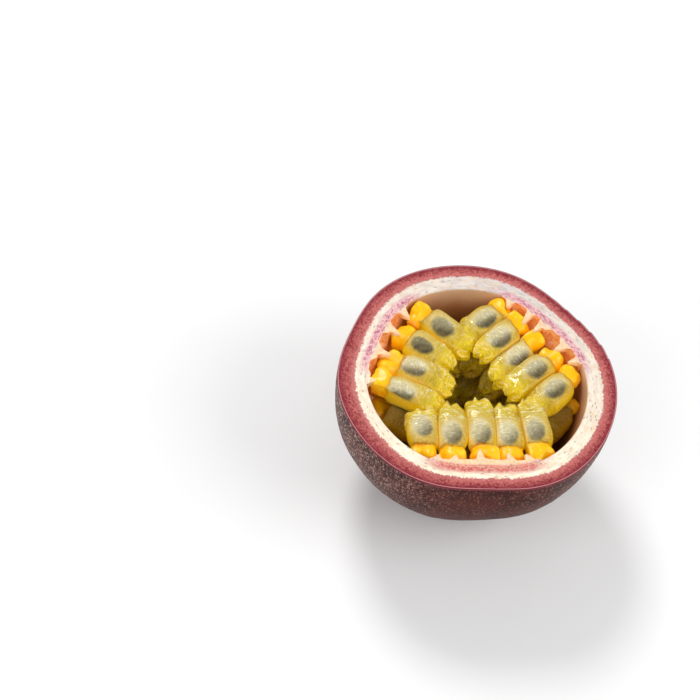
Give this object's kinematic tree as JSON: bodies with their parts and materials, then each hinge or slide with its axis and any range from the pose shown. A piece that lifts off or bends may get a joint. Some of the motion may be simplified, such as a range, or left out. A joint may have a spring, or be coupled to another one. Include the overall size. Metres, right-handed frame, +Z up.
{
  "type": "passion fruit half",
  "caption": "Half of a purple passion fruit resting on its round end, cut face up, with the pith, placentas and juicy seed sacs showing.",
  "frame": {"origin": "on the floor, under the middle of the outline's box", "axes": "+Z up, square to the cut face; +X to the right and +Y away from a viewer who looks at the front cluster of sacs"},
  "size_m": [0.0521, 0.0523, 0.028],
  "materials": {
    "shell": "satin purple-maroon skin with fine pale dots, red flesh at the cut",
    "pith": "matt cream white pith with fine flecks",
    "placenta": "moist peach to orange-brown lining with cream pegs",
    "sac": "wet yellow translucent jelly with orange caps",
    "pulp": "wet olive-brown pulp in shadow",
    "seed": "dark grey-green seed coat inside the jelly"
  },
  "bodies": {
    "root": {"shell": "shell", "pith": "pith", "placenta_left": "placenta", "placenta_right": "placenta", "placenta_front": "placenta", "sac_left_1": "sac", "sac_left_2": "sac", "sac_left_3": "sac", "sac_left_4": "sac", "sac_right_1": "sac", "sac_right_2": "sac", "sac_right_3": "sac", "sac_right_4": "sac", "sac_right_5": "sac", "sac_front_1": "sac", "sac_front_2": "sac", "sac_front_3": "sac", "sac_front_4": "sac", "sac_front_5": "sac", "sac_lower_left_1": "sac", "sac_lower_left_2": "sac", "sac_lower_left_3": "sac", "sac_lower_left_4": "sac", "sac_lower_right_1": "sac", "sac_lower_right_2": "sac", "sac_lower_right_3": "sac", "sac_lower_right_4": "sac", "sac_lower_front_1": "sac", "sac_lower_front_2": "sac", "sac_lower_front_3": "sac", "sac_lower_front_4": "sac", "pulp_bed": "pulp"}
  },
  "joints": []
}
